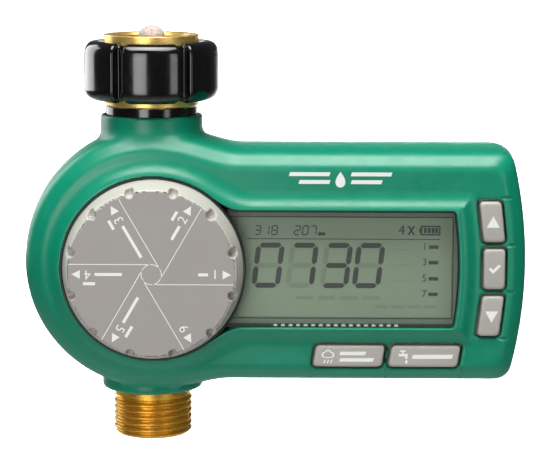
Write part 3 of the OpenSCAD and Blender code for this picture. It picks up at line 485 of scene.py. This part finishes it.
sculpt("front_shell", front_field, (shell_lo[0], -FRAME_D, BOSS_BOTTOM), (shell_hi[0], 0, NECK_TOP),
       fineness(0.62), green, "green_shell", "controller", "front_housing")
sculpt("rear_shell", rear_field, (shell_lo[0], 0, BOSS_BOTTOM), (shell_hi[0], SHELL_D, NECK_TOP),
       fineness(0.62), green, "green_shell", "controller", "rear_housing")


def cover_field(x, y, z):
    """The battery cover: a plate with a lip, a thumb notch and a countersunk screw hole."""
    w = z - DZ
    plate = smax(np.abs(x - COVER_X) - COVER_HALF, np.abs(w) - COVER_H, 4.2)
    plate = smax(plate, np.abs(y - 19.9) - 0.6, 0.5)
    lip = smax(np.abs(x - TRAY_X) - TRAY_HALF + 1.9, np.abs(w) - HOLE_H + 0.4, 2)
    lip = smax(np.abs(lip + 1) - 1, np.abs(y - 18.2) - 1.2, 0.3)
    plate = np.minimum(plate, lip)
    notch = smax(np.hypot(x - cover_lo[0] - 1.2, w) - 6, 20.0 - y, 0.4)
    plate = cut(plate, notch, 0.4)
    plate = cut(plate, np.maximum(np.hypot(x - SCREW_X, w) - 3.2, 19.8 - y), 0.3)
    return cut(plate, np.hypot(x - SCREW_X, w) - 1.6, 0.2)


sculpt("battery_cover_panel", cover_field, cover_lo, cover_hi, 0.5, green, "green_shell", "cover",
       "battery_cover")

# ---- dial -------------------------------------------------------------------

FACE_D = -dial_lo[1]
FOOT_D = -dial_hi[1]
FACE_R = 27.9
FOOT_R = (dial_hi[0] - dial_lo[0]) / 2
LABEL_R = 27.45


def flutes(u, w, grow):
    """Twelve finger flutes along the dial's axis, centred on its rim."""
    part = math.pi / 6
    off = np.arctan2(w, u) % part - part / 2
    r = np.hypot(u, w)
    return np.hypot(r * np.cos(off) - FACE_R + 0.3, r * np.sin(off)) - grow


def dial_field(x, y, z):
    """The dial: a straight foot, a tapered grip with flutes, and a seat for its label."""
    u, w, d = x - DX, z - DZ, -y
    r = np.hypot(u, w)
    taper = (FOOT_R - FACE_R) / (FACE_D - FOOT_D - 4)
    side = smax(r - FOOT_R, (r - FACE_R - (FACE_D - d) * taper) * 0.97, 0.8)
    body = smax(smax(side, d - FACE_D, 0.9), FOOT_D - d, 0.5)
    body = cut(body, smax(flutes(u, w, 1.5), FACE_D - 4.8 - d, 1.5), 0.6)
    body = cut(body, np.maximum(r - LABEL_R - 0.05, FACE_D - 0.3 - d), 0.1)
    hollow = np.maximum(np.maximum(r - (FACE_R - 4.2), d - (FACE_D - 3)), 8 - r)
    body = cut(body, hollow, 0.3)
    return cut(body, np.maximum(r - 8.2, d - 25), 0.2)


sculpt("dial_knob", dial_field, dial_lo, dial_hi, fineness(0.5), dial_grey, "grey_dial", "dial",
       "mode_dial")


def label_field(x, y, z):
    """The dial's thin label, with its edge cut back at the flutes."""
    u, w, d = x - DX, z - DZ, -y
    disc = np.maximum(np.hypot(u, w) - LABEL_R, np.maximum(d - FACE_D, FACE_D - 0.35 - d))
    return cut(disc, flutes(u, w, 1.55), 0.1)


sculpt("dial_face_label", label_field, dial_lo, (dial_hi[0], dial_lo[1] + 0.6, dial_hi[2]), 0.4,
       label_grey, "grey_label", "dial", "dial_label")


def turned(points, degrees):
    """Points round the dial's axis, turned anticlockwise."""
    c, s = math.cos(math.radians(degrees)), math.sin(math.radians(degrees))
    return [(DX + x * c - z * s, DZ + x * s + z * c) for x, z in points]


def glyph(text, size):
    """Outlines of a short number in the built-in font, centred, as mesh faces."""
    curve = bpy.data.curves.new("glyph", "FONT")
    curve.body = text
    curve.size = size
    curve.align_x, curve.align_y = "CENTER", "CENTER"
    obj = bpy.data.objects.new("glyph", curve)
    scene.collection.objects.link(obj)
    bpy.context.view_layer.update()
    mesh = bpy.data.meshes.new_from_object(obj.evaluated_get(bpy.context.evaluated_depsgraph_get()))
    outlines = [[(mesh.vertices[i].co.x, mesh.vertices[i].co.y) for i in p.vertices]
                for p in mesh.polygons]
    bpy.data.objects.remove(obj)
    bpy.data.meshes.remove(mesh)
    return outlines


def bar(x, z, w, h, lean=0.0):
    """Outline of a bar centred at x, z, whose ends lean to the right."""
    return [(x - w / 2 - lean * h / 2, z - h / 2), (x + w / 2 - lean * h / 2, z - h / 2),
            (x + w / 2 + lean * h / 2, z + h / 2), (x - w / 2 + lean * h / 2, z + h / 2)]


def ellipse(x, z, rx, rz, n):
    """Outline of an ellipse centred at x, z."""
    return [(x + rx * math.cos(2 * math.pi * k / n), z + rz * math.sin(2 * math.pi * k / n))
            for k in range(n)]


HUB_R = 3.45  # circle in the middle that the six lines run out from
HAIR = 0.26  # width of the lines and of the circle
# for each of the six places, how far from the axis its long bar and its short bar start
RAYS = [(15.4, 0), (13.4, 19.0), (6.5, 19.0), (9.6, 18.4), (8.8, 18.2), (0, 0)]
marks = []
for k, (first, second) in enumerate(RAYS):
    a = 60 * k
    marks.append(turned([(0.4, -HUB_R), (LABEL_R - 0.3, -HUB_R), (LABEL_R - 0.3, -HUB_R + HAIR),
                         (0.4, -HUB_R + HAIR)], a))
    marks.append(turned([(26.2, 0), (23.4, 1.45), (23.4, -1.45)], a))
    marks += [turned([(x + 20.9, z) for x, z in outline], a) for outline in glyph(str(k + 1), 4.4)]
    if first:
        marks.append(turned(bar((first + 18.6) / 2, 0, 18.6 - first, 1.0), a))
    if second:
        marks.append(turned(bar((second + 22.4) / 2, 3.1, 22.4 - second, 1.0), a))
for k in range(48):
    a, b = 2 * math.pi * k / 48, 2 * math.pi * (k + 1) / 48
    marks.append([(DX + r * math.cos(t), DZ + r * math.sin(t))
                  for r, t in ((HUB_R - HAIR, a), (HUB_R, a), (HUB_R, b), (HUB_R - HAIR, b))])
prisms("dial_marks", marks, FACE_D + 0.03, 0.1, white_ink, "dial")

# ---- buttons ----------------------------------------------------------------

KEY_D = 21.8  # depth of the buttons' faces
FLANGE_D = 17  # the caps stand on their flanges from here


def centre(name):
    """Middle of a button, in x and in height above the dial's axis."""
    shape, place = KEYS[name]
    corners = shape(place)
    return sum(p[0] for p in corners) / 4, sum(p[1] for p in corners) / 4


def key_field(name):
    """A button's field: a crowned cap on a flange that keeps it behind the case's front."""
    shape, place = KEYS[name]
    cx, cz = centre(name)

    def field(x, y, z):
        w, d = z - DZ, -y
        crown = 0.25 * (((x - cx) / 12) ** 2 + ((w - cz) / 8) ** 2)
        side = soft_quad(x, w, shape(place), 1.6) + 0.02 * (d - FLANGE_D)
        cap = smax(side, d - KEY_D + crown, 1.0)
        flange = smax(soft_quad(x, w, shape(place, 0.7), 1.6), np.abs(d - FLANGE_D + 0.05) - 0.45, 0.2)
        return np.minimum(np.maximum(cap, FLANGE_D - d), flange)

    return field


for name in KEYS:
    sculpt(name + "_cap", key_field(name), *node_box(name + "_button"), 0.35, button_grey,
           "grey_button", name + "_key", name + "_button")


def at(points, x, z):
    """An outline moved to x and to z above the dial's axis."""
    return [(x + px, DZ + z + pz) for px, pz in points]


def key_mark(name, outlines):
    """White marks printed on a button's face."""
    prisms(name + "_mark", outlines, KEY_D + 0.02, 0.25, white_ink, name + "_key")


up = [(-2.15, -1.75), (2.15, -1.75), (0, 2.1)]
cx, cz = centre("up")
key_mark("up", [at(up, cx + 0.2, cz)])
cx, cz = centre("down")
key_mark("down", [at([(x, -z) for x, z in up], cx + 0.2, cz)])
tick = [(-2.0, 0.1), (-1.35, 0.75), (-0.5, -0.1), (1.4, 1.8), (2.05, 1.15), (-0.5, -1.4)]
key_mark("ok", [at(tick, *centre("ok"))])

# a cloud's outline as a thin band round four discs, with rain under it and two bars beside it
cx, cz = centre("cancel")
puffs = ((-1.2, 0, 0.95), (0, 0.55, 1.2), (1.2, 0, 0.95), (0, -0.25, 0.9))
outline = []
for k in range(48):
    c, s = math.cos(2 * math.pi * k / 48), math.sin(2 * math.pi * k / 48)
    reach = max((c * px + s * pz + math.sqrt(max(0.0, r * r - (c * pz - s * px) ** 2))
                 if r * r > (c * pz - s * px) ** 2 else 0.0) for px, pz, r in puffs)
    outline.append((c * reach, s * reach))
BAND = 0.74  # inner edge of the cloud's band, as a part of the outer one
cloud = [at([p, (p[0] * BAND, p[1] * BAND), (q[0] * BAND, q[1] * BAND), q], cx - 7.0, cz + 0.5)
         for p, q in zip(outline, outline[1:] + outline[:1])]
cloud += [at(bar(0, 0, 0.4, 1.2, 0.4), cx - 7.0 + k, cz - 1.75) for k in (-1.1, 0.0, 1.1)]
cloud += [at(bar(0, 0, 8.6, 1.2, 0.3), cx + 1.3, cz + 1.05),
          at(bar(0, 0, 11.2, 1.2, 0.3), cx + 2.6, cz - 1.15)]
key_mark("cancel", cloud)

# a tap's body, stem, handle, spout and drop, with a bar beside it
cx, cz = centre("water_now")
tap = [at(bar(0, 0, 3.0, 0.9), cx - 7.2, cz + 0.55), at(bar(0, 0, 0.6, 0.7), cx - 7.3, cz + 1.36),
       at(bar(0, 0, 2.0, 0.45), cx - 7.3, cz + 1.94), at(bar(0, 0, 0.9, 0.8), cx - 6.15, cz - 0.31),
       ellipse(cx - 6.1, DZ + cz - 1.75, 0.4, 0.7, 16),
       at(bar(0, 0, 13.4, 1.4, 0.3), cx + 2.6, cz)]
key_mark("water_now", tap)

# ---- display ----------------------------------------------------------------

LCD_D = -node_box("lcd_glass")[0][1]
SEGMENTS = {"0": "abcdef", "1": "bc", "2": "abged", "3": "abgcd", "7": "abc", "8": "abcdefg"}


def digit(ch, x, z, w, h, t, lean, unlit=False):
    """Seven leaning strokes, or those that are off, with the lower left corner at x, z."""
    g, out = t * 0.12, []
    across = {"a": h - t / 2, "g": h / 2, "d": t / 2}
    down = {"f": (t / 2, h / 2, h), "b": (w - t / 2, h / 2, h), "e": (t / 2, 0, h / 2),
            "c": (w - t / 2, 0, h / 2)}
    for s in "abcdefg":
        if (s in SEGMENTS[ch]) == unlit:
            continue
        if s in across:
            m = across[s]
            p = [(t / 2 + g, m), (t + g, m - t / 2), (w - t - g, m - t / 2), (w - t / 2 - g, m),
                 (w - t - g, m + t / 2), (t + g, m + t / 2)]
        else:
            m, a, b = down[s]
            a, b = a + (t / 2 if a == 0 else 0) + g, b - (t / 2 if b == h else 0) - g
            p = [(m, a), (m + t / 2, a + t / 2), (m + t / 2, b - t / 2), (m, b),
                 (m - t / 2, b - t / 2), (m - t / 2, a + t / 2)]
        out.append([(x + px + lean * pz, DZ + z + pz) for px, pz in p])
    return out


INK_D = LCD_D + 0.03
HEAD_Z = DZ + 12.4  # middle of the line of small signs at the top
dark, faint = [], []
for ch, x in zip("0730", (34.0, 45.4, 56.9, 67.7)):
    dark += digit(ch, x, -7.3, 9.6, 15.4, 1.75, 0.12)
    faint += digit(ch, x, -7.3, 9.6, 15.4, 1.75, 0.12, True)
for ch, x in zip("207318", (48.2, 50.9, 53.6, 35.0, 37.8, 40.6)):
    dark += digit(ch, x, 10.6, 2.2, 3.4, 0.42, 0.1)
dark.append(bar(57.6, DZ + 11.1, 2.4, 1.0))
dark += [at(outline, 84.4, 12.4) for outline in glyph("4", 4.6)]
# times sign: one long stroke and two short ones that end on it
dark += [[(86.3, HEAD_Z - 1.5), (87.0, HEAD_Z - 1.5), (88.9, HEAD_Z + 1.5), (88.2, HEAD_Z + 1.5)],
         [(88.2, HEAD_Z - 1.5), (88.9, HEAD_Z - 1.5), (87.93, HEAD_Z), (87.35, HEAD_Z - 0.2)],
         [(86.3, HEAD_Z + 1.5), (87.27, HEAD_Z), (87.85, HEAD_Z + 0.2), (87.0, HEAD_Z + 1.5)]]
dark.append(bar(65.0, DZ + 9.4, 64.6, 0.3))
# battery: its tip, four walls and four bars of charge
dark += [bar(90.5, HEAD_Z, 0.5, 1.5), bar(94.0, HEAD_Z + 1.4, 6.6, 0.5),
         bar(94.0, HEAD_Z - 1.4, 6.6, 0.5), bar(97.1, HEAD_Z, 0.5, 3.2), bar(91.0, HEAD_Z, 0.5, 3.2)]
dark += [bar(x, HEAD_Z, 1.0, 1.8) for x in (92.3, 93.6, 94.9, 96.1)]
for ch, z in zip("1357", (6.9, 1.6, -3.9, -9.2)):
    dark += [at(outline, 92.2, z) for outline in glyph(ch, 3.5)]
    dark.append(bar(95.2, DZ + z - 0.1, 3.2, 1.2))
faint += [bar(84.5, DZ + z - 1.0, 6.0, 0.3) for z in (6.9, 1.6, -3.9)]
faint += [bar(52 + 7.5 * k, DZ - 10.6, 5.6, 1.2) for k in range(4)]
faint += [bar(78 + 5.4 * k, DZ - 13.6, 4.2, 1.0) for k in range(4)]
prisms("display_digits", dark, INK_D, 0.05, lcd_dark, "controller")
prisms("display_faint_digits", faint, INK_D - 0.01, 0.03, lcd_faint, "controller")

# dark line round the glass, drawn on the frame
MASK_D = 17.55
left, right, low, high = 26.5, 101.6, -17.35, 17.05
edge = [bar((left + right) / 2, DZ + z, right - left, 0.4) for z in (high, low)]
edge.append(bar(right, DZ + (high + low) / 2, 0.4, high - low))
prisms("display_edge", edge, MASK_D + 0.02, 0.05, lcd_edge, "controller")

# painted shade round the window's mouth: black strips on the lens, widest along the top where the
# wall's shadow falls, thinnest at the bottom
rows = [WINDOW_H * (k / 8 - 1) for k in range(17)]
shade_strips = [bar((25 + WINDOW_RIGHT) / 2, DZ + side * (WINDOW_H - w / 2), WINDOW_RIGHT - 27, w)
        for side, w in ((1, 0.7), (-1, 0.35))]
shade_strips += [[(follow(WINDOW_RIGHT + dx, z), DZ + z) for dx, z in ((-0.6, a), (0, a), (0, b), (-0.6, b))]
         for a, b in zip(rows, rows[1:])]
prisms("window_painted_shade", shade_strips, LENS_D + 0.05, 0.05, black_ring, "controller")

# ---- printed mark above the window: a plain drop between two pairs of lines ----

drop = [(63.6 + 2.1 * math.sin(2 * math.pi * k / 32) * math.sin(math.pi * k / 32),
         DZ + 30.0 + 2.6 * math.cos(2 * math.pi * k / 32)) for k in range(32)]
bands = [bar(x + inwards, DZ + z, w, 1.3, 0.3) for x, short_in in ((53.4, 1.6), (73.9, -1.6))
         for z, w, inwards in ((31.8, 13.4, 0), (29.2, 10.2, short_in))]
prisms("front_print", [drop] + bands, SHELL_D + 0.03, 0.3, white_ink, "controller")

# ---- water fittings -----------------------------------------------------------

PITCH = 25.4 / 11.5
MALE_R, FEMALE_R = 13.45, 12.3  # the threads' crests
grip_lo, grip_hi = node_box("swivel_collar")
GRIP_R = max(grip_hi[0], -grip_lo[0])
GRIP_Z, GRIP_H = (grip_lo[2] + grip_hi[2]) / 2, grip_hi[2] - grip_lo[2]
LOBES = 6
LOBE_TURN = math.radians(87)


def grip_field(x, y, z):
    """The collar: rounded lobes parted by grooves, with a soft mould step near the top."""
    r = np.hypot(x, y)
    zz = np.abs(z - GRIP_Z) - GRIP_H / 2
    step = 0.07 * np.clip((z - GRIP_Z) / GRIP_H * 18 - 4.6, 0, 1)
    lobes = smax(r - GRIP_R + step, zz, 4.6)
    part = 2 * math.pi / LOBES
    off = (np.arctan2(y, x) + LOBE_TURN + part / 2) % part - part / 2
    across = np.abs(r * np.sin(np.abs(off) - part / 2))
    lobes = smax(lobes, 1.6 - across, 1.3)
    core = smax(r - 19.4, zz + 0.8, 1.6)
    body = smin(lobes, core, 0.4)
    return cut(body, r - 16.0, 0.6)


sculpt("collar_grip", grip_field, grip_lo, grip_hi, fineness(0.45), gloss_black, "gloss_black",
       "swivel", "swivel_collar")

nut_lo, nut_hi = node_box("swivel_insert")


def thread(x, y, z, crest_r, depth, grow):
    """Radius of a helical thread's surface, with flat crests; grow is 1 outside, -1 inside."""
    phase = (z / PITCH - np.arctan2(y, x) / (2 * math.pi)) % 1
    rise = np.clip((0.5 - np.abs(phase - 0.5)) * 3.4 - 0.25, 0, 1)
    return crest_r - grow * depth * (1 - rise)


def nut_field(x, y, z):
    """The brass nut: threaded above the sealing face, with a lip that hangs on the tailpiece."""
    r = np.hypot(x, y)
    outer = np.where(z < grip_lo[2], 15.9, 16.1)
    body = smax(r - outer, np.maximum(z - nut_hi[2], nut_lo[2] - z), 0.35)
    bore = thread(x, y, z, FEMALE_R, 1.3, -1)
    mouth = np.clip(z - (nut_hi[2] - 1.6), 0, 5)
    plain = np.where(z < 0.4, 13.8, bore)
    hole = (r - np.maximum(plain, FEMALE_R + mouth)) * 0.8
    lip = np.where(z < -6.2, r - 11.6, hole)
    return cut(body, lip, 0.3)


sculpt("collar_nut", nut_field, nut_lo, nut_hi, fineness(0.36), brass, "brass", "swivel",
       "swivel_insert")

pipe_lo, pipe_hi = node_box("outlet_fitting")


def outlet_field(x, y, z):
    """The brass nipple: its thread runs up to a plain band under the case."""
    r = np.hypot(x, y)
    low = pipe_lo[2]
    band = np.clip((BOSS_BOTTOM - 2.6 - z) / 0.7, 0, 1)
    radius = 13.0 * (1 - band) + thread(x, y, z, MALE_R, 1.25, 1) * band
    radius = np.where(z > BOSS_BOTTOM + 0.05, 12.5, radius)
    chamfer = 12.0 + np.clip(z - low, 0, 9) * 1.1
    body = smax((r - np.minimum(radius, chamfer)) * 0.8, np.maximum(low - z, z - pipe_hi[2]), 0.4)
    return cut(body, r - 9.2, 0.5)


sculpt("outlet_nipple", outlet_field, pipe_lo, pipe_hi, fineness(0.36), outlet_brass,
       "outlet_brass", "controller", "outlet_fitting")

# ---- studio -------------------------------------------------------------------

floor_z = cad_box[0][2] / MM - 400
BEND_Y, BEND_R = 900.0, 900.0  # where the floor starts to curve up, and how widely
profile = [(-2600.0, 0.0), (BEND_Y, 0.0)]
profile += [(BEND_Y + BEND_R * math.sin(math.radians(a)), BEND_R * (1 - math.cos(math.radians(a))))
            for a in range(5, 80, 5)]
points = [(x, y, floor_z + z) for y, z in profile for x in (-4000, 4000)]
faces = [[2 * k, 2 * k + 1, 2 * k + 3, 2 * k + 2] for k in range(len(profile) - 1)]
sweep = mesh_object("studio_sweep", points, faces)
sweep.data.materials.append(material("studio_white", [0.6, 0.6, 0.6, 1], 0.9, spread=0.004, scale=4,
                                     grain=0.0, rough_spread=0.02))


def area_light(name, place, target, size, power, spread=180):
    """A rectangular light in metres and watts, turned to its target."""
    light = bpy.data.lights.new(name, "AREA")
    light.shape = "RECTANGLE"
    light.size, light.size_y = size
    light.energy = power
    light.spread = math.radians(spread)
    obj = bpy.data.objects.new(name, light)
    obj.location = place
    obj.rotation_euler = (Vector(target) - Vector(place)).to_track_quat("-Z", "Y").to_euler()
    scene.collection.objects.link(obj)


middle = (0.04, 0, DZ * MM)
area_light("top_box", (0.02, -0.22, 0.80), middle, (0.9, 0.7), 4.8, 90)
area_light("left_strip", (-0.35, -1.20, -0.02), middle, (0.48, 1.2), 1.6, 80)
area_light("right_strip", (1.02, -1.15, -0.02), middle, (0.34, 1.2), 0.6, 80)
area_light("edge_strip", (-0.92, 0.77, 0.29), (0.0, 0.0, 0.29), (0.85, 1.0), 7)
area_light("backdrop", (0.04, 0.8, 0.45), (0.04, 1.55, -0.33), (0.9, 0.4), 20, 90)
world = bpy.data.worlds.new("studio")
world.use_nodes = True
world.node_tree.nodes["Background"].inputs["Color"].default_value = (1, 1, 1, 1)
world.node_tree.nodes["Background"].inputs["Strength"].default_value = 0.06
scene.world = world
scene.view_settings.view_transform = "Standard"

# ---- camera -------------------------------------------------------------------

DISTANCE = 720.0
VIEW_WIDTH = 188.356  # of the object, across the picture at that distance
pitch, roll = math.radians(9.1), math.radians(0.25)
aim = Vector((42.0, 0.0, DZ + 8.9))
look = Vector((0, math.cos(pitch), -math.sin(pitch)))
right = Vector((1, 0, 0))
over = right.cross(look)
right, over = (right * math.cos(roll) + over * math.sin(roll),
               over * math.cos(roll) - right * math.sin(roll))
camera = bpy.data.cameras.new("camera")
camera.sensor_width = 36
camera.lens = camera.sensor_width * DISTANCE / VIEW_WIDTH
camera.clip_end = 20
eye = bpy.data.objects.new("camera", camera)
turn = Matrix((right, over, -look)).transposed().to_4x4()
eye.matrix_world = Matrix.Translation((aim - look * DISTANCE) * MM) @ turn
scene.collection.objects.link(eye)
scene.camera = eye
